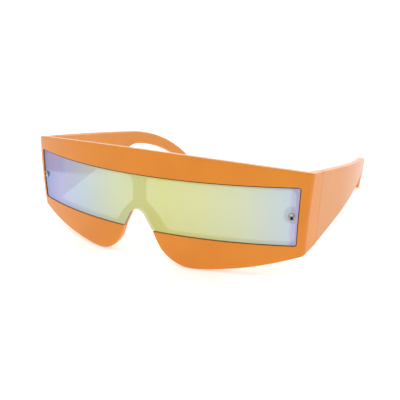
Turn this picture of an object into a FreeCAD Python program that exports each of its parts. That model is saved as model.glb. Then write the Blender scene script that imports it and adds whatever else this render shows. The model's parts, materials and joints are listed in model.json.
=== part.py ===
import FreeCAD, Part
import math
import os

# One-piece shield sunglasses: a moulded front that wraps the face, one mirrored lens let into it,
# and two deep temples on metal barrel hinges. Left and right are the wearer's: the left side is +X.
# Everything is built in the front's own frame, with the front facing -Y and its middle at y = 0,
# and is stood on its lobes and temple tips at the end. Millimetres and degrees.

# Moulded front
front_width = 150.0
wrap_radius = 178.0
crown_radius = 230.0
front_thickness = 4.0
brow_height = 12.0
brow_drop = 2.65
sill_height = 6.6
sill_bow = 2.4
lobe_depth = 16.85
lobe_flare = 24.0
lobe_round = 18.0
corner_round = 3.0
inner_corner_round = 2.0
edge_round = 0.8
back_round = 0.6
side_wall = 3.8
end_piece_length = 11.7
side_lean = 3.4
side_splay = 2.6
top_fall = 6.6
sill_climb = 8.3

# Nose notch and bridge
notch_rise = 8.75
notch_round = 4.75
notch_flare = 29.9
shoulder_drop = 0.5
bridge_width = 6.2
rim_crown = 4.0
rim_foot = 6.4
rim_bow = 0.75

# Shield lens and its rebate
lens_middle = -1.625
lens_height = 24.95
lens_thickness = 1.6
lens_recess = 0.4
lens_sweep = 0.65
lens_end_margin = 3.7
lens_end_lean = 1.9
lens_gap = 0.45
lens_corner_round = 0.8
brow_ledge = 1.4
sill_ledge = 0.5
end_ledge = 1.6
window_round = 2.5
seat_gap = 0.05

# Lens screws, their washers and bosses
screw_inset = 2.2
screw_shank = 1.8
screw_length = 5.0
screw_head = 3.0
screw_head_height = 0.9
socket_width = 1.2
socket_depth = 0.6
screw_hole_gap = 0.15
washer_width = 3.6
washer_thickness = 0.3
boss_width = 6.6
boss_floor = 0.6

# Temples, measured back from the seam
bend_start = 22.6
bend_radius = 192.0
bend_angle = 19.9
hook_start = 65.5
hook_radius = 67.0
hook_angle = 43.8
arm_height = 7.9
tip_height = 5.5
wedge_bow = 0.2
wedge_blend = 14.0
tip_round = 2.4
inner_edge_round = 1.1
seam_gap = 0.2

# Barrel hinges
knuckle_width = 3.5
knuckle_height = 2.6
knuckle_gap = 0.1
running_gap = 0.15
pivot_stand_off = 1.3
leaf_thickness = 1.0
leaf_length = 6.0
pocket_gap = 0.15
pin_width = 1.4
pin_gap = 0.05
pin_head = 2.6
pin_head_height = 0.8
pin_slot = 0.4
leaf_screw_head = 1.9
leaf_screw_shank = 1.1
leaf_screw_length = 2.6
leaf_screw_spacing = 4.6
thread_gap = 0.02

# Working allowances: how far cutting shapes run past what they cut, how close two points count as
# one, the share of a face's normal along an axis from which the face counts as looking that way,
# and the share of a wall that its fillets may take up
overshoot = 10.0
same_place = 0.001
looks_along = 0.5
fillet_share = 0.9

ORIGIN = FreeCAD.Vector(0, 0, 0)
X_AXIS = FreeCAD.Vector(1, 0, 0)
Y_AXIS = FreeCAD.Vector(0, 1, 0)
Z_AXIS = FreeCAD.Vector(0, 0, 1)
WRAP_CENTRE = FreeCAD.Vector(0, wrap_radius, 0)


def tangent(angle):
    return math.tan(math.radians(angle))


def depth_at(x, depth):
    """How far back a level section of the front, at a depth behind its outer face, lies at an x."""
    return wrap_radius - math.sqrt((wrap_radius - depth) ** 2 - x ** 2)


# Heights and places worked out from the driving sizes
half_width = front_width / 2
lens_top = lens_middle + lens_height / 2
lens_bottom = lens_middle - lens_height / 2
brow_top = lens_top + brow_height
brow_end = brow_top - brow_drop
lobe_bottom = lens_bottom - lobe_depth
sill_end = lens_bottom - sill_height
rebate_depth = lens_recess + lens_thickness + seat_gap
corner_y = depth_at(half_width, 0)
seam_y = corner_y + end_piece_length
temple_y = seam_y + seam_gap
back_y = seam_y + front_thickness + overshoot
reach = brow_height + lens_height + lobe_depth + overshoot
past_side = half_width + overshoot


def top_line(y):
    """Height of the top edge at the side face, which falls in one line into the temple."""
    return brow_end - y * tangent(top_fall)


def sill_line(y):
    """Height of the lower edge at the side face, which climbs towards the temple."""
    return sill_end + y * tangent(sill_climb)


def side_x(y, z=0.0):
    """The outer side face: it leans out towards the top and splays towards the back."""
    return half_width + y * tangent(side_splay) + z * tangent(side_lean)


# Outlines and solids


def front_point(x, z):
    """A point of an outline drawn in the upright plane across the middle of the front."""
    return FreeCAD.Vector(x, 0, z)


def side_point(y, z):
    """A point of an outline drawn in the upright plane between the temples."""
    return FreeCAD.Vector(0, y, z)


def plan_point(x, y):
    """A point of an outline drawn in the level plane."""
    return FreeCAD.Vector(x, y, 0)


def line(start, end):
    return Part.LineSegment(start, end).toShape()


def arc(start, middle, end):
    return Part.Arc(start, middle, end).toShape()


def bowed(start, end, bow, normal):
    """An arc from start to end whose middle stands off its chord, across the normal, by the bow."""
    aside = normal.cross(end - start)
    aside.normalize()
    return arc(start, (start + end) / 2 + aside * bow, end)


def path(points):
    """Straight edges from point to point."""
    return [line(start, end) for start, end in zip(points, points[1:])]


def loop(points):
    """Straight edges from point to point and back to the first."""
    return path(points + points[:1])


def face_of(edges):
    return Part.Face(Part.Wire(Part.__sortEdges__(edges)))


def prism(edges, start, run, rounds=()):
    """Move an outline by start, extrude it along run, and round the edges at the corners listed."""
    face = face_of(edges)
    face.translate(start)
    solid = face.extrude(run)
    for corners, radius in rounds:
        feet = [corner + start for corner in corners]
        chosen = []
        for edge in solid.Edges:
            ends = [vertex.Point for vertex in edge.Vertexes]
            starts = any(end.distanceToPoint(foot) < same_place for end in ends for foot in feet)
            if starts and abs((ends[-1] - ends[0]).dot(run)) > looks_along * run.Length ** 2:
                chosen.append(edge)
        solid = solid.makeFillet(radius, chosen)
    return solid


def block(low, high):
    """A box between two corners."""
    size = high - low
    return Part.makeBox(size.x, size.y, size.z, low)


def rod(width, start_y, end_y):
    """A round rod along Y between two depths."""
    return Part.makeCylinder(width / 2, end_y - start_y, Y_AXIS * start_y, Y_AXIS)


def pillar(width, low_z, high_z):
    """A round pillar along Z between two heights."""
    return Part.makeCylinder(width / 2, high_z - low_z, Z_AXIS * low_z, Z_AXIS)


def mirrored(shape):
    return shape.mirror(ORIGIN, X_AXIS)


def both_sides(shape):
    return [shape, mirrored(shape)]


def facing(face):
    """The outward direction at the middle of a face."""
    low_u, high_u, low_v, high_v = face.ParameterRange
    return face.normalAt((low_u + high_u) / 2, (low_v + high_v) / 2)


def rims(shape, chosen_face, butt_y):
    """The edges between the chosen faces and the others, but for those on the plane of a butt."""
    inside = [face for face in shape.Faces if chosen_face(face)]
    chosen = []
    for edge in shape.Edges:
        sides = shape.ancestorsOfType(edge, Part.Face)
        count = sum(1 for face in sides if any(face.isSame(other) for other in inside))
        if count == 1 and abs(edge.CenterOfMass.y - butt_y) > edge_round / 2:
            chosen.append(edge)
    return chosen


# Surfaces that the pieces share


def surface_arc(depth):
    """The front's upright section at a depth behind its outer face, from below to above."""
    end = crown_radius - math.sqrt((crown_radius - depth) ** 2 - reach ** 2)
    return side_point(end, -reach), side_point(depth, 0), side_point(end, reach)


def wrapped(edges):
    """Turn an upright section round the wrap's axis, past both ends of the front."""
    half_turn = math.degrees(math.asin(past_side / wrap_radius))
    section = face_of(edges)
    section.rotate(WRAP_CENTRE, Z_AXIS, -half_turn)
    return section.revolve(WRAP_CENTRE, Z_AXIS, 2 * half_turn)


def layer(front_depth, back_depth):
    """The layer of the front between two depths behind its outer face."""
    low, middle, high = surface_arc(front_depth)
    back_low, back_middle, back_high = surface_arc(back_depth)
    return wrapped([arc(low, middle, high), line(high, back_high),
                    arc(back_high, back_middle, back_low), line(back_low, low)])


def behind(depth):
    """Everything behind a depth of the front, back past the end pieces."""
    low, middle, high = surface_arc(depth)
    back = [high, side_point(back_y, reach), side_point(back_y, -reach), low]
    return wrapped([arc(low, middle, high)] + path(back))


def lean_up(edges):
    """Extrude a plan outline upwards along the lean of the left side face."""
    lean = FreeCAD.Vector(tangent(side_lean), 0, 1)
    return prism(edges, lean * -reach, lean * 2 * reach)


def between_sides(wall):
    """The space between the two side faces, each moved in by a wall."""
    near = -overshoot
    far = back_y + overshoot
    left = lean_up(loop([plan_point(-front_width, near), plan_point(side_x(near) - wall, near),
                         plan_point(side_x(far) - wall, far), plan_point(-front_width, far)]))
    return left.common(mirrored(left))


def run_back(edges, rise, rounds=()):
    """Extrude an upright outline from before the front to behind the end pieces, rising as it goes."""
    slope = FreeCAD.Vector(0, 1, rise)
    return prism(edges, slope * -overshoot, slope * (back_y + 2 * overshoot), rounds)


def opposite(point):
    """The point across the middle of the front from a point of an upright outline."""
    return front_point(-point.x, point.z)


def past_end(edge, side):
    """Where an arc's circle passes the left end, on its upper half for side 1 or lower half for -1."""
    circle = edge.Curve
    rise = math.sqrt(circle.Radius ** 2 - (past_side - circle.Center.x) ** 2)
    return front_point(past_side, circle.Center.z + side * rise)


def below_brow():
    """Everything under the arched brow line, whose top face falls back into the temples."""
    end = front_point(half_width, brow_end)
    crown = front_point(0, brow_top)
    left = past_end(arc(opposite(end), crown, end), 1)
    low = front_point(past_side, -reach)
    edges = [arc(opposite(left), crown, left)] + path([left, low, opposite(low), opposite(left)])
    return run_back(edges, -tangent(top_fall))


notch_apex = lens_bottom + notch_rise + notch_round * (1 / math.sin(math.radians(notch_flare)) - 1)
shoulder_z = lens_bottom - shoulder_drop
shoulder_x = (notch_apex - shoulder_z) * tangent(notch_flare)
lobe_x = shoulder_x + (shoulder_z - lobe_bottom) * tangent(lobe_flare)


def above_lobes():
    """Everything over the lower outline: the sills, the two lobes and the nose notch between them."""
    apex = front_point(0, notch_apex)
    shoulder = front_point(shoulder_x, shoulder_z)
    lobe = front_point(lobe_x, lobe_bottom)
    sill = bowed(lobe, front_point(half_width, sill_end), sill_bow, Y_AXIS)
    middle = sill.valueAt(sum(sill.ParameterRange) / 2)
    end = past_end(sill, -1)
    top = front_point(past_side, reach)
    edges = path([opposite(lobe), opposite(shoulder), apex, shoulder, lobe])
    edges += [arc(lobe, middle, end), arc(opposite(end), opposite(middle), opposite(lobe))]
    edges += path([end, top, opposite(top), opposite(end)])
    rounds = [([apex], notch_round), ([lobe, opposite(lobe)], lobe_round)]
    return run_back(edges, tangent(sill_climb), rounds)


# Lens outline, screw places and eye windows


def lens_end(z):
    """The lens's outer end at a height: it stands off the side face and leans less than it does."""
    return side_x(corner_y, lens_middle) - lens_end_margin + (z - lens_middle) * tangent(lens_end_lean)


def lens_outline(grow):
    """The lens outline, grown all round, run back through the front."""
    top = lens_top + grow
    bottom = lens_bottom - grow
    top_x = lens_end(top) + grow
    bottom_x = lens_end(bottom) + grow
    corners = [front_point(top_x, top + lens_sweep), front_point(bottom_x, bottom + lens_sweep),
               front_point(-bottom_x, bottom + lens_sweep), front_point(-top_x, top + lens_sweep)]
    edges = [arc(corners[3], front_point(0, top), corners[0]), line(corners[0], corners[1]),
             arc(corners[1], front_point(0, bottom), corners[2]), line(corners[2], corners[3])]
    return run_back(edges, 0.0, [(corners, lens_corner_round + grow)])


screw_x = lens_end(lens_middle) - screw_inset
screw_turn = math.degrees(math.asin(screw_x / wrap_radius))
screw_tip = lens_recess + screw_length
screw_hole = screw_shank + 2 * screw_hole_gap
boss_back = screw_tip + boss_floor


def at_screw(shape):
    """Carry a shape from the middle of the front round to the left lens screw."""
    placed = shape.copy()
    placed.translate(Z_AXIS * (lens_middle + lens_sweep))
    placed.rotate(WRAP_CENTRE, Z_AXIS, screw_turn)
    return placed


def window():
    """The left eye window behind the lens: between brow, bridge, the arched nose rim, sill and end."""
    inner = bridge_width / 2
    top = lens_top - brow_ledge
    bottom = lens_bottom + sill_ledge
    outer = lens_end(lens_middle) - end_ledge
    rim_x = (notch_apex - bottom) * tangent(notch_flare) + rim_foot
    rim_z = lens_bottom + notch_rise + rim_crown
    corners = [front_point(inner, rim_z), front_point(inner, top), front_point(outer, top + lens_sweep),
               front_point(outer, bottom + lens_sweep), front_point(rim_x, bottom)]
    edges = path(corners)
    edges.append(bowed(corners[-1], corners[0], rim_bow, Y_AXIS))
    rim_length = math.hypot(rim_x - inner, rim_z - bottom)
    rim_turn = math.atan2(rim_x - inner, rim_z - bottom) + 2 * math.atan(2 * rim_bow / rim_length)
    post_limit = (top - rim_z) / (1 + math.tan(rim_turn / 2))
    return run_back(edges, 0.0, [(corners, min(window_round, fillet_share * post_limit))])


# Hinges: the pivot stands just inside the side walls, on the seam and half way up it

hinge_z = (top_line(seam_y) + sill_line(seam_y)) / 2
pivot = FreeCAD.Vector(side_x(seam_y, hinge_z) - side_wall - pivot_stand_off, seam_y + seam_gap / 2, hinge_z)
knuckle_radius = knuckle_width / 2
seat_x = knuckle_radius + running_gap
plate_x = seat_x - leaf_thickness
hinge_top = (3 * knuckle_height + 2 * knuckle_gap) / 2
leaf_screw_y = (seat_x + leaf_length) / 2
to_front = -1
to_temple = 1


def at_pivot(shape):
    """Carry a shape from the hinge's own axis to the left pivot."""
    placed = shape.copy()
    placed.translate(pivot)
    return placed


def strip(x_range, y_range, z_range):
    """A box between two x, two y and two z values, in either order."""
    low, high = zip(sorted(x_range), sorted(y_range), sorted(z_range))
    return block(FreeCAD.Vector(*low), FreeCAD.Vector(*high))


def pocket(way):
    """The shallow seat of a leaf in a side wall, open inwards and at the seam."""
    top = hinge_top + pin_head_height + pocket_gap
    far = way * (leaf_length + pocket_gap)
    return strip((-overshoot, seat_x), (0, far), (-hinge_top - pocket_gap, top))


def leaf_screw(way, level, gap):
    """A countersunk leaf screw along X, grown by a gap; level is -1 for the lower one and 1 for the upper."""
    start = FreeCAD.Vector(plate_x, way * leaf_screw_y, level * leaf_screw_spacing / 2)
    head = leaf_screw_head / 2 + gap
    shank = leaf_screw_shank / 2 + gap
    sink = head - shank
    cone = Part.makeCone(head, shank, sink, start, X_AXIS)
    return cone.fuse(Part.makeCylinder(shank, leaf_screw_length + gap - sink, start + X_AXIS * sink, X_AXIS))


def leaf_screw_holes(way):
    return [leaf_screw(way, level, thread_gap) for level in (-1, 1)]


def hinge_leaf(way, knuckles, bore):
    """A hinge leaf: a plate in its seat and the knuckles that it carries round the pivot."""
    leaf = strip((plate_x, seat_x), (way * seat_x, way * leaf_length), (-hinge_top, hinge_top))
    for number in knuckles:
        low = number * (knuckle_height + knuckle_gap) - hinge_top
        high = low + knuckle_height
        web = strip((plate_x, knuckle_radius), (0, way * (seat_x + leaf_thickness)), (low, high))
        leaf = leaf.fuse([pillar(knuckle_width, low, high), web])
    drill = pillar(bore, -hinge_top - overshoot, hinge_top + overshoot)
    return leaf.cut([drill] + leaf_screw_holes(way)).removeSplitter()


def hinge_screw():
    """A slotted cheese head on the top knuckle and a plain shank through all three."""
    head_low = hinge_top + thread_gap
    head_high = head_low + pin_head_height
    slot = strip((-pin_head, pin_head), (-pin_slot / 2, pin_slot / 2),
                 (head_high - pin_head_height / 2, head_high + overshoot))
    screw = pillar(pin_width, -hinge_top, head_low).fuse(pillar(pin_head, head_low, head_high))
    return screw.cut(slot).removeSplitter()


# Front


def looks_aside(face):
    """How far an end piece's face looks outwards, or inwards below 0; other faces give 0."""
    centre_x = face.CenterOfMass.x
    if abs(centre_x) < half_width - side_wall - corner_round:
        return 0.0
    return math.copysign(1, centre_x) * facing(face).x


def is_outer(face):
    """Whether a face is the front face, an outer side face or the rounded corner between them."""
    return facing(face).y < -looks_along or looks_aside(face) > looks_along


def is_inner(face):
    """Whether a face looks at the wearer: the back of the wall, its corners and the inner side faces."""
    return facing(face).y > looks_along or looks_aside(face) < -looks_along


def upright_edges(shape, height, last_y):
    """The edges that rise by more than a height before a plane across the part."""
    chosen = []
    for edge in shape.Edges:
        first, last = edge.Vertexes[0].Point, edge.Vertexes[-1].Point
        if abs(last.z - first.z) > height and max(first.y, last.y) < last_y:
            chosen.append(edge)
    return chosen


def front_blank():
    """The solid wedge of the front before it is hollowed, with its corners and rims rounded."""
    blank = behind(0).common(below_brow()).common(above_lobes()).common(between_sides(0))
    rear = strip((-front_width, front_width), (seam_y, back_y + 2 * overshoot), (-2 * reach, 2 * reach))
    blank = blank.cut(rear).removeSplitter()
    blank = blank.makeFillet(corner_round, upright_edges(blank, lens_height, seam_y - edge_round))
    return blank.makeFillet(edge_round, rims(blank, is_outer, seam_y))


def hollow():
    """The space behind the front's wall and between its end pieces."""
    space = behind(front_thickness).common(between_sides(side_wall))
    return space.makeFillet(inner_corner_round, upright_edges(space, reach, back_y - overshoot / 2))


def end_trim():
    """What hangs under the end pieces inside their lower edge, behind the front's wall."""
    start = depth_at(half_width - side_wall, front_thickness) + inner_corner_round
    outline = loop([side_point(start, sill_line(start)), side_point(back_y, sill_line(back_y)),
                    side_point(back_y, -reach), side_point(start, -reach)])
    return prism(outline, X_AXIS * -front_width, X_AXIS * 2 * front_width)


def front_frame():
    """The moulded front: wall, rebate, eye windows, screw bosses and hinge seats in one piece."""
    frame = front_blank().cut(hollow())
    frame = frame.makeFillet(back_round, rims(frame, is_inner, seam_y))
    frame = frame.cut(end_trim())
    frame = frame.cut(layer(-overshoot, rebate_depth).common(lens_outline(lens_gap)))
    frame = frame.cut(both_sides(window()))
    boss = at_screw(rod(boss_width, rebate_depth, boss_back)).common(between_sides(side_wall / 2))
    frame = frame.fuse(both_sides(boss))
    screw_bore = at_screw(rod(screw_shank + 2 * thread_gap, -overshoot, screw_tip + thread_gap))
    seat = [at_pivot(shape) for shape in [pocket(to_front)] + leaf_screw_holes(to_front)]
    for shape in [screw_bore] + seat:
        frame = frame.cut(both_sides(shape))
    return frame.removeSplitter()


def shield_lens():
    """The one lens, bent with the front, notched at the nose and drilled for its two screws."""
    lens = layer(lens_recess, lens_recess + lens_thickness).common(lens_outline(0)).common(above_lobes())
    return lens.cut(both_sides(at_screw(rod(screw_hole, -overshoot, overshoot))))


def lens_washer():
    """The thin washer between the lens and the head of its screw."""
    back = lens_recess - seat_gap
    ring = rod(washer_width, back - washer_thickness, back)
    return at_screw(ring.cut(rod(screw_hole, -overshoot, overshoot)))


def lens_screw():
    """A domed screw with a hexagon socket, through the washer and the lens into its boss."""
    seat = lens_recess - 2 * seat_gap - washer_thickness
    crest = seat - screw_head_height
    ball = ((screw_head / 2) ** 2 + screw_head_height ** 2) / (2 * screw_head_height)
    dome = Part.makeSphere(ball, Y_AXIS * (crest + ball)).common(rod(screw_head, crest, seat))
    sides = 6
    corner = X_AXIS * (socket_width / 2 / math.cos(math.pi / sides))
    turns = [FreeCAD.Rotation(Y_AXIS, 360 / sides * number) for number in range(sides)]
    hexagon = loop([turn.multVec(corner) for turn in turns])
    socket = prism(hexagon, Y_AXIS * (crest - overshoot), Y_AXIS * (overshoot + socket_depth))
    return at_screw(dome.fuse(rod(screw_shank, seat, screw_tip)).cut(socket).removeSplitter())


# Temple

bend_y = seam_y + bend_start
hook_y = seam_y + hook_start


def temple_run(inset):
    """Plan points along a temple at an inset from its outer face: butt, bend start, middle and end, tip."""
    splay = math.radians(side_splay)
    turned = math.radians(bend_angle) - splay
    centre = plan_point(side_x(bend_y) - bend_radius * math.cos(splay),
                        bend_y + bend_radius * math.sin(splay))

    def on_bend(angle):
        return centre + plan_point(math.cos(angle), math.sin(angle)) * (bend_radius - inset)

    butt = plan_point(side_x(temple_y) - inset / math.cos(splay), temple_y)
    leave = on_bend(turned)
    tip = leave + plan_point(-math.sin(turned), math.cos(turned)) * (hook_start + hook_radius)
    return butt, on_bend(-splay), on_bend((turned - splay) / 2), leave, tip


def temple_plan():
    """The temple seen from above, run on past its tip and leaned like the side faces."""
    butt, bend, middle, leave, tip = temple_run(0.0)
    in_butt, in_bend, in_middle, in_leave, in_tip = temple_run(side_wall)
    edges = [line(butt, bend), arc(bend, middle, leave), line(leave, tip), line(tip, in_tip),
             line(in_tip, in_leave), arc(in_leave, in_middle, in_bend), line(in_bend, in_butt),
             line(in_butt, butt)]
    return lean_up(edges)


def temple_profile():
    """The temple seen from the side: a deep wedge behind the hinge, a slim arm and a hooked tip."""
    fall = math.radians(top_fall)
    drop = math.radians(top_fall + hook_angle)
    centre = side_point(hook_y - hook_radius * math.sin(fall),
                        top_line(hook_y) - hook_radius * math.cos(fall))

    def on_hook(below, angle):
        return centre + side_point(math.sin(angle), math.cos(angle)) * (hook_radius - below)

    def hook_arc(start_below, end_below):
        middle = on_hook((start_below + end_below) / 2, (fall + drop) / 2)
        return arc(on_hook(start_below, fall), middle, on_hook(end_below, drop))

    butt_top = side_point(temple_y, top_line(temple_y))
    butt_low = side_point(temple_y, sill_line(temple_y))
    wedge_end = on_hook(arm_height, fall)
    tip = [on_hook(0, drop), on_hook(tip_height, drop)]
    edges = [line(butt_top, on_hook(0, fall)), hook_arc(0, 0), line(tip[0], tip[1]),
             hook_arc(arm_height, tip_height), bowed(butt_low, wedge_end, -wedge_bow, X_AXIS),
             line(butt_low, butt_top)]
    rounds = [([wedge_end], wedge_blend), (tip, min(tip_round, fillet_share * tip_height / 2))]
    return prism(edges, ORIGIN, X_AXIS * front_width, rounds)


def is_outside(face):
    return facing(face).x > looks_along


def is_inside(face):
    return facing(face).x < -looks_along


def temple():
    """The left temple with its rounded edges, hinge seat and leaf screw holes."""
    arm = temple_plan().common(temple_profile()).removeSplitter()
    arm = arm.makeFillet(edge_round, rims(arm, is_outside, temple_y))
    arm = arm.makeFillet(inner_edge_round, rims(arm, is_inside, temple_y))
    for shape in [pocket(to_temple)] + leaf_screw_holes(to_temple):
        arm = arm.cut(at_pivot(shape))
    return arm.removeSplitter()


# Assembly


def build():
    """Every subpart by its node name, still in the front's own frame."""
    left = {
        "temple": temple(),
        "lens_washer": lens_washer(),
        "lens_screw": lens_screw(),
        "front_hinge_leaf": at_pivot(hinge_leaf(to_front, (0, 2), pin_width + 2 * thread_gap)),
        "temple_hinge_leaf": at_pivot(hinge_leaf(to_temple, (1,), pin_width + 2 * pin_gap)),
        "hinge_screw": at_pivot(hinge_screw()),
    }
    for leaf_name, way in (("front", to_front), ("temple", to_temple)):
        for level_name, level in (("lower", -1), ("upper", 1)):
            left[leaf_name + "_leaf_screw_" + level_name] = at_pivot(leaf_screw(way, level, 0.0))
    nodes = {"front_frame": front_frame(), "shield_lens": shield_lens()}
    for name, shape in left.items():
        nodes["left_" + name] = shape
        nodes["right_" + name] = mirrored(shape)
    return nodes


def rest_tilt(front, arm):
    """The turn about X that brings the lobes and the temple tips level, in a few repeats."""
    tilt = 0.0
    for _ in range(4):
        lows = []
        for shape in (front, arm):
            standing = shape.copy()
            standing.rotate(ORIGIN, X_AXIS, tilt)
            lows.append(standing.optimalBoundingBox().ZMin)
        tilt -= math.degrees(math.atan2(lows[1] - lows[0], arm.BoundBox.YMax))
    return tilt


def main():
    nodes = build()
    tilt = rest_tilt(nodes["front_frame"], nodes["left_temple"])
    for shape in nodes.values():
        shape.rotate(ORIGIN, X_AXIS, tilt)
    boxes = [shape.optimalBoundingBox() for shape in nodes.values()]
    middle_y = (min(box.YMin for box in boxes) + max(box.YMax for box in boxes)) / 2
    stand = FreeCAD.Vector(0, -middle_y, -min(box.ZMin for box in boxes))
    os.makedirs("parts", exist_ok=True)
    for name, shape in nodes.items():
        shape.translate(stand)
        shape.exportStep("parts/" + name + ".step")
        print(name, len(shape.Solids), "solids", round(shape.Volume, 2), "mm3", shape.isValid())
    turn = FreeCAD.Rotation(X_AXIS, tilt)
    print("tilt", round(tilt, 4), "move", stand)
    print("left pivot", turn.multVec(pivot) + stand, "axis", turn.multVec(Z_AXIS))


main()
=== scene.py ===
import json
import math

import bpy
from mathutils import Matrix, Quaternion, Vector


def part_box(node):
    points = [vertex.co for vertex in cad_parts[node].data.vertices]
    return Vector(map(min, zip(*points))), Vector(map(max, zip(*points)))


# Shield sunglasses on a pale studio floor: satin orange mouldings, a rainbow mirror lens and small
# steel fittings. Metres; the wearer's left is +X and the front faces -Y. Noise scales are in features
# per metre.

# Camera, at the photograph's viewing angle; angles in degrees, lens and sensor in millimetres
camera_place = Vector((0.15980, -0.26509, 0.12761))
camera_azimuth = 32.358
camera_elevation = 21.559
camera_roll = -2.953
camera_lens = 54.0
camera_sensor = 36.0
camera_near = 0.005

# Room light, from the horizon to overhead
horizon_light = (0.94, 0.94, 0.94)
overhead_light = (0.5, 0.5, 0.5)

# Soft boxes as (name, place, aim, width, height, watts)
soft_boxes = [
    ("top_soft_box", (-0.10, -0.10, 0.90), (0.0, 0.0, 0.02), 0.9, 0.7, 3.0),
    ("rear_soft_box", (0.12, 2.64, 0.96), (0.0, 0.0, 0.03), 4.32, 1.2, 46.0),
]

# Floor of seamless paper, which a faint glow keeps white
floor_size = 40.0
floor_colour = (0.93, 0.93, 0.93)
floor_pale_colour = (0.95, 0.95, 0.95)
floor_tooth_scale = 400.0
floor_roughness = 0.9
floor_gloss = 0.1
floor_glow_colour = (1.0, 1.0, 1.0)
floor_glow = 0.29

# Noise: the span that most of its values lie in, and its usual detail
noise_span = (0.3, 0.7)
noise_detail = 2.0

# Moulded plastics as slot: (colour, paler colour, sheen weight, sheen tint)
plastics = {
    "frame_plastic": ((0.74, 0.225, 0.006), (0.78, 0.250, 0.010), 0.75, (0.78, 0.90, 0.78)),
    "temple_plastic": ((0.69, 0.252, 0.036), (0.73, 0.277, 0.044), 0.6, (0.90, 0.86, 1.0)),
}
plastic_cloud_scale = 55.0
plastic_grain_scale = 2600.0
plastic_grain_detail = 3.0
plastic_grain_strength = 0.12
plastic_grain_depth = 0.00002
plastic_roughness = (0.36, 0.46)
plastic_ior = 1.45
plastic_sheen_roughness = 0.3

# Mirror coat of the lens: tints from the wearer's right end to the left end as (share of the width,
# colour), and how far and at what scale they drift
mirror_tints = [
    (0.00, (0.175, 0.255, 0.55)),
    (0.12, (0.355, 0.395, 0.655)),
    (0.24, (0.37, 0.47, 0.55)),
    (0.43, (0.49, 0.55, 0.30)),
    (0.59, (0.53, 0.55, 0.18)),
    (0.72, (0.53, 0.55, 0.22)),
    (0.85, (0.49, 0.54, 0.33)),
    (0.978, (0.40, 0.49, 0.56)),
    (0.984, (0.36, 0.36, 0.54)),
]
tint_drift = 0.0005
tint_drift_scale = 22.0

# Painted reflection, drawn as a darker shade of the coat above a line that rises from the wearer's right
# end: the shade, the height of the line over the bottom of the lens at that end, its slope, half the
# width of its blur, and the shares of the lens width over which the painted reflection fades out
painted_reflection_tone = (0.82, 0.68, 0.69)
painted_reflection_height = 0.01427
painted_reflection_slope = 0.174
painted_reflection_blur = 0.0008
painted_reflection_shares = (0.08, 0.44)

# Lens: how far a face has to lean to the front or the rear to count as coat or back, the colours of its
# bare edges and back, the share of light that its coat and its back let through, and its polish
lens_face_lean = 0.5
lens_edge_colour = (0.07, 0.028, 0.010)
lens_back_colour = (0.10, 0.11, 0.17)
coat_see_through = 0.11
back_see_through = 0.65
coat_metallic = 0.9
lens_haze_scale = 900.0
lens_haze_detail = 3.0
lens_wave_scale = 60.0
lens_wave_strength = 0.05
lens_wave_depth = 0.00005
lens_roughness = (0.10, 0.16)
lens_ior = 1.58

# Plated metals as slot: (colour, range of roughness)
metals = {
    "screw_steel": ((0.48, 0.47, 0.48), (0.22, 0.36)),
    "hinge_metal": ((0.44, 0.42, 0.39), (0.28, 0.42)),
}
metal_blotch_scale = 700.0
metal_blotch_shade = 0.8
metal_scratch_scale = 4200.0
metal_scratch_detail = 4.0
metal_scratch_strength = 0.1
metal_scratch_depth = 0.00001

# Hexagon socket of the left lens screw: its middle, from the middle of the screw, its reach and the
# colour of the painted shade in it; the right one is its mirror image
socket_offset = Vector((0.000997, -0.002663, 0.000053))
socket_reach = 0.00076
socket_painted_shade = (0.03, 0.03, 0.035)

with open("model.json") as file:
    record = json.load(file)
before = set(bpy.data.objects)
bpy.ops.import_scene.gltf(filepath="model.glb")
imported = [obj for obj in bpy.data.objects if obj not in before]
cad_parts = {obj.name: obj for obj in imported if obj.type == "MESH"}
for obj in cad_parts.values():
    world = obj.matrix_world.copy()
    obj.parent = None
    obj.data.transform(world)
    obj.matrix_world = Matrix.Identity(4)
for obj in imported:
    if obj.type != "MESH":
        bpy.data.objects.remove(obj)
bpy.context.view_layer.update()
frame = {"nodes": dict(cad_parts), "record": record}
bpy.context.scene.view_settings.view_transform = "Standard"


# Node helpers


def new_material(name):
    """A node material with its tree, its shader and its texture coordinates."""
    material = bpy.data.materials.new(name)
    material.use_nodes = True
    tree = material.node_tree
    shader = tree.nodes["Principled BSDF"]
    coordinates = tree.nodes.new("ShaderNodeTexCoord")
    return material, tree, shader, coordinates


def feed(tree, value, socket):
    """Give a socket an output to follow, an RGB colour or a number."""
    if isinstance(value, bpy.types.NodeSocket):
        tree.links.new(value, socket)
    elif isinstance(value, tuple):
        socket.default_value = (*value, 1.0)
    else:
        socket.default_value = value


def noise(tree, vector, scale, detail=noise_detail):
    """A noise texture."""
    node = tree.nodes.new("ShaderNodeTexNoise")
    node.inputs["Scale"].default_value = scale
    node.inputs["Detail"].default_value = detail
    tree.links.new(vector, node.inputs["Vector"])
    return node.outputs["Fac"]


def remap(tree, value, span, result=(0.0, 1.0)):
    """Map a value from one span onto another."""
    node = tree.nodes.new("ShaderNodeMapRange")
    node.inputs["From Min"].default_value, node.inputs["From Max"].default_value = span
    node.inputs["To Min"].default_value, node.inputs["To Max"].default_value = result
    tree.links.new(value, node.inputs["Value"])
    return node.outputs["Result"]


def spread(tree, value, result=(0.0, 1.0)):
    """Map a noise value, which keeps near the middle, onto a span."""
    return remap(tree, value, noise_span, result)


def mix(tree, factor, first, second, blend="MIX"):
    """Mix two colours; each is an RGB triple or an output socket."""
    node = tree.nodes.new("ShaderNodeMix")
    node.data_type = "RGBA"
    node.blend_type = blend
    tree.links.new(factor, node.inputs["Factor"])
    feed(tree, first, node.inputs["A"])
    feed(tree, second, node.inputs["B"])
    return node.outputs["Result"]


def math_node(tree, operation, *values):
    """A Math node; each value is a number or an output socket."""
    node = tree.nodes.new("ShaderNodeMath")
    node.operation = operation
    for socket, value in zip(node.inputs, values):
        feed(tree, value, socket)
    return node.outputs["Value"]


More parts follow.
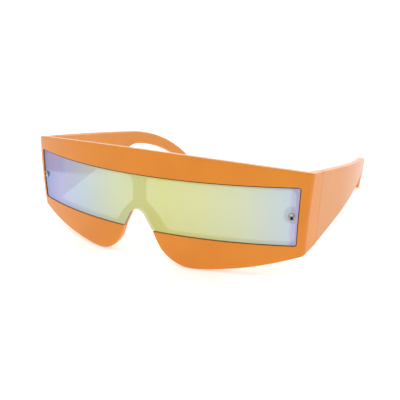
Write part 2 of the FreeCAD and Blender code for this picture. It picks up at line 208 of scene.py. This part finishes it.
def axes_of(tree, vector):
    """The X, Y and Z of a vector, as outputs by name."""
    node = tree.nodes.new("ShaderNodeSeparateXYZ")
    tree.links.new(vector, node.inputs["Vector"])
    return node.outputs


def bump(tree, shader, height, strength, depth):
    """Tilt a shader's normal by a height; the depth is in metres."""
    node = tree.nodes.new("ShaderNodeBump")
    node.inputs["Strength"].default_value = strength
    node.inputs["Distance"].default_value = depth
    tree.links.new(height, node.inputs["Height"])
    tree.links.new(node.outputs["Normal"], shader.inputs["Normal"])


# Materials


def moulded_plastic(name, colour, paler, sheen, sheen_tint):
    """Satin injection-moulded plastic: faint cloudy colour, a fine skin and a soft sheen."""
    material, tree, shader, coordinates = new_material(name)
    place = coordinates.outputs["Object"]
    cloud = spread(tree, noise(tree, place, plastic_cloud_scale))
    tree.links.new(mix(tree, cloud, colour, paler), shader.inputs["Base Color"])
    grain = noise(tree, place, plastic_grain_scale, plastic_grain_detail)
    tree.links.new(spread(tree, grain, plastic_roughness), shader.inputs["Roughness"])
    bump(tree, shader, grain, plastic_grain_strength, plastic_grain_depth)
    shader.inputs["IOR"].default_value = plastic_ior
    shader.inputs["Sheen Weight"].default_value = sheen
    shader.inputs["Sheen Roughness"].default_value = plastic_sheen_roughness
    shader.inputs["Sheen Tint"].default_value = (*sheen_tint, 1.0)
    return material


def mirror_coat(tree, place):
    """Colour of the mirror coat: tints across its width, and a painted reflection that darkens it above
    a rising line.
    """
    low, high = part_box("shield_lens")
    axes = axes_of(tree, place)
    drift = spread(tree, noise(tree, place, tint_drift_scale), (-tint_drift, tint_drift))
    share = remap(tree, math_node(tree, "ADD", axes["X"], drift), (low.x, high.x))
    ramp = tree.nodes.new("ShaderNodeValToRGB")
    elements = ramp.color_ramp.elements
    while len(elements) < len(mirror_tints):
        elements.new(1.0)
    for element, (position, colour) in zip(elements, mirror_tints):
        element.position = position
        element.color = (*colour, 1.0)
    tree.links.new(share, ramp.inputs["Fac"])

    # Painted reflection: the coat is darkened above this rising line, fading out across the lens
    height_at_middle = low.z + painted_reflection_height - low.x * painted_reflection_slope
    line = math_node(tree, "MULTIPLY_ADD", axes["X"], painted_reflection_slope, height_at_middle)
    over_line = math_node(tree, "SUBTRACT", axes["Z"], line)
    above_reflection_line = remap(tree, over_line, (-painted_reflection_blur, painted_reflection_blur))
    fade = remap(tree, share, painted_reflection_shares, (1.0, 0.0))
    painted_reflection_amount = math_node(tree, "MULTIPLY", above_reflection_line, fade)
    return mix(tree, painted_reflection_amount, ramp.outputs["Color"], painted_reflection_tone, "MULTIPLY")


def mirror_lens(name):
    """Polycarbonate with a mirror coat on its outer face and a smoky tint on its back."""
    material, tree, shader, coordinates = new_material(name)
    place = coordinates.outputs["Object"]
    inside = tree.nodes.new("ShaderNodeNewGeometry").outputs["Backfacing"]
    outside = math_node(tree, "SUBTRACT", 1.0, inside)
    turned = math_node(tree, "SUBTRACT", outside, inside)
    lean = math_node(tree, "MULTIPLY", axes_of(tree, coordinates.outputs["Normal"])["Y"], turned)
    coated = math_node(tree, "LESS_THAN", lean, -lens_face_lean)
    rear = math_node(tree, "GREATER_THAN", lean, lens_face_lean)

    bare = mix(tree, rear, lens_edge_colour, lens_back_colour)
    tree.links.new(mix(tree, coated, bare, mirror_coat(tree, place)), shader.inputs["Base Color"])
    tree.links.new(math_node(tree, "MULTIPLY", coated, coat_metallic), shader.inputs["Metallic"])
    through_back = math_node(tree, "MULTIPLY", rear, back_see_through)
    see_through = math_node(tree, "MULTIPLY_ADD", coated, coat_see_through, through_back)
    cover = math_node(tree, "SUBTRACT", 1.0, see_through)
    tree.links.new(math_node(tree, "MULTIPLY", cover, outside), shader.inputs["Alpha"])

    haze = noise(tree, place, lens_haze_scale, lens_haze_detail)
    tree.links.new(spread(tree, haze, lens_roughness), shader.inputs["Roughness"])
    bump(tree, shader, noise(tree, place, lens_wave_scale), lens_wave_strength, lens_wave_depth)
    shader.inputs["IOR"].default_value = lens_ior
    return material


def in_socket(tree, place):
    """1 inside the hexagon sockets of the two lens screws, else 0."""
    low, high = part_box("left_lens_screw")
    axes = axes_of(tree, place)
    mirrored = tree.nodes.new("ShaderNodeCombineXYZ")
    tree.links.new(math_node(tree, "ABSOLUTE", axes["X"]), mirrored.inputs["X"])
    tree.links.new(axes["Y"], mirrored.inputs["Y"])
    tree.links.new(axes["Z"], mirrored.inputs["Z"])
    distance = tree.nodes.new("ShaderNodeVectorMath")
    distance.operation = "DISTANCE"
    tree.links.new(mirrored.outputs["Vector"], distance.inputs[0])
    distance.inputs[1].default_value = (low + high) / 2 + socket_offset
    return math_node(tree, "LESS_THAN", distance.outputs["Value"], socket_reach)


def fitting_metal(name, colour, roughness):
    """Small plated fittings: tumbled metal with blotches, fine scratches and painted shade in the screw
    sockets.
    """
    material, tree, shader, coordinates = new_material(name)
    place = coordinates.outputs["Object"]
    blotch = spread(tree, noise(tree, place, metal_blotch_scale))
    darker = tuple(channel * metal_blotch_shade for channel in colour)
    plated = mix(tree, blotch, darker, colour)
    # Painted shade: the hexagon sockets of the lens screws are drawn near black
    tree.links.new(mix(tree, in_socket(tree, place), plated, socket_painted_shade), shader.inputs["Base Color"])
    scratch = noise(tree, place, metal_scratch_scale, metal_scratch_detail)
    tree.links.new(spread(tree, scratch, roughness), shader.inputs["Roughness"])
    bump(tree, shader, scratch, metal_scratch_strength, metal_scratch_depth)
    shader.inputs["Metallic"].default_value = 1.0
    return material


def floor_material():
    """Seamless paper with a barely visible tooth."""
    material, tree, shader, coordinates = new_material("studio_paper")
    tooth = noise(tree, coordinates.outputs["Object"], floor_tooth_scale)
    tree.links.new(mix(tree, tooth, floor_colour, floor_pale_colour), shader.inputs["Base Color"])
    shader.inputs["Roughness"].default_value = floor_roughness
    shader.inputs["Specular IOR Level"].default_value = floor_gloss
    shader.inputs["Emission Color"].default_value = (*floor_glow_colour, 1.0)
    shader.inputs["Emission Strength"].default_value = floor_glow
    return material


def dress():
    """Give every node the material of its slot in the record."""
    materials = {}
    for name, look in plastics.items():
        materials[name] = moulded_plastic(name, *look)
    materials["mirror_lens"] = mirror_lens("mirror_lens")
    for name, look in metals.items():
        materials[name] = fitting_metal(name, *look)
    slot_of = {part["node"]: part["material_slot"] for part in frame["record"]["subparts"]}
    for node, piece in frame["nodes"].items():
        piece.data.materials.clear()
        piece.data.materials.append(materials[slot_of[node]])


# Studio


def look_along(direction, roll=0.0):
    """The turn of a camera or light that looks along a direction, rolled about it."""
    return direction.to_track_quat("-Z", "Y") @ Quaternion((0, 0, 1), math.radians(roll))


def add_object(name, data):
    """A new object in the scene."""
    thing = bpy.data.objects.new(name, data)
    bpy.context.scene.collection.objects.link(thing)
    return thing


def add_camera():
    """The camera, from its place and its three angles."""
    data = bpy.data.cameras.new("camera")
    data.sensor_width = camera_sensor
    data.lens = camera_lens
    data.clip_start = camera_near
    camera = add_object("camera", data)
    azimuth = math.radians(camera_azimuth)
    elevation = math.radians(camera_elevation)
    forward = Vector((-math.sin(azimuth) * math.cos(elevation), math.cos(azimuth) * math.cos(elevation),
                      -math.sin(elevation)))
    camera.location = camera_place
    camera.rotation_mode = "QUATERNION"
    camera.rotation_quaternion = look_along(forward, camera_roll)
    bpy.context.scene.camera = camera


def add_soft_box(name, place, aim, width, height, watts):
    """A rectangular area light that faces a point."""
    data = bpy.data.lights.new(name, "AREA")
    data.shape = "RECTANGLE"
    data.size = width
    data.size_y = height
    data.energy = watts
    light = add_object(name, data)
    light.location = place
    light.rotation_mode = "QUATERNION"
    light.rotation_quaternion = look_along(Vector(aim) - Vector(place))


def add_floor():
    """A wide square floor at the height of the frame's origin."""
    half = floor_size / 2
    corners = [(-half, -half, 0), (half, -half, 0), (half, half, 0), (-half, half, 0)]
    mesh = bpy.data.meshes.new("floor")
    mesh.from_pydata(corners, [], [(0, 1, 2, 3)])
    mesh.materials.append(floor_material())
    add_object("floor", mesh)


def light_room():
    """A white room that dims towards its ceiling."""
    world = bpy.data.worlds.new("studio")
    world.use_nodes = True
    tree = world.node_tree
    direction = tree.nodes.new("ShaderNodeTexCoord").outputs["Generated"]
    light = mix(tree, axes_of(tree, direction)["Z"], horizon_light, overhead_light)
    tree.links.new(light, tree.nodes["Background"].inputs["Color"])
    bpy.context.scene.world = world


dress()
add_camera()
light_room()
for soft_box in soft_boxes:
    add_soft_box(*soft_box)
add_floor()
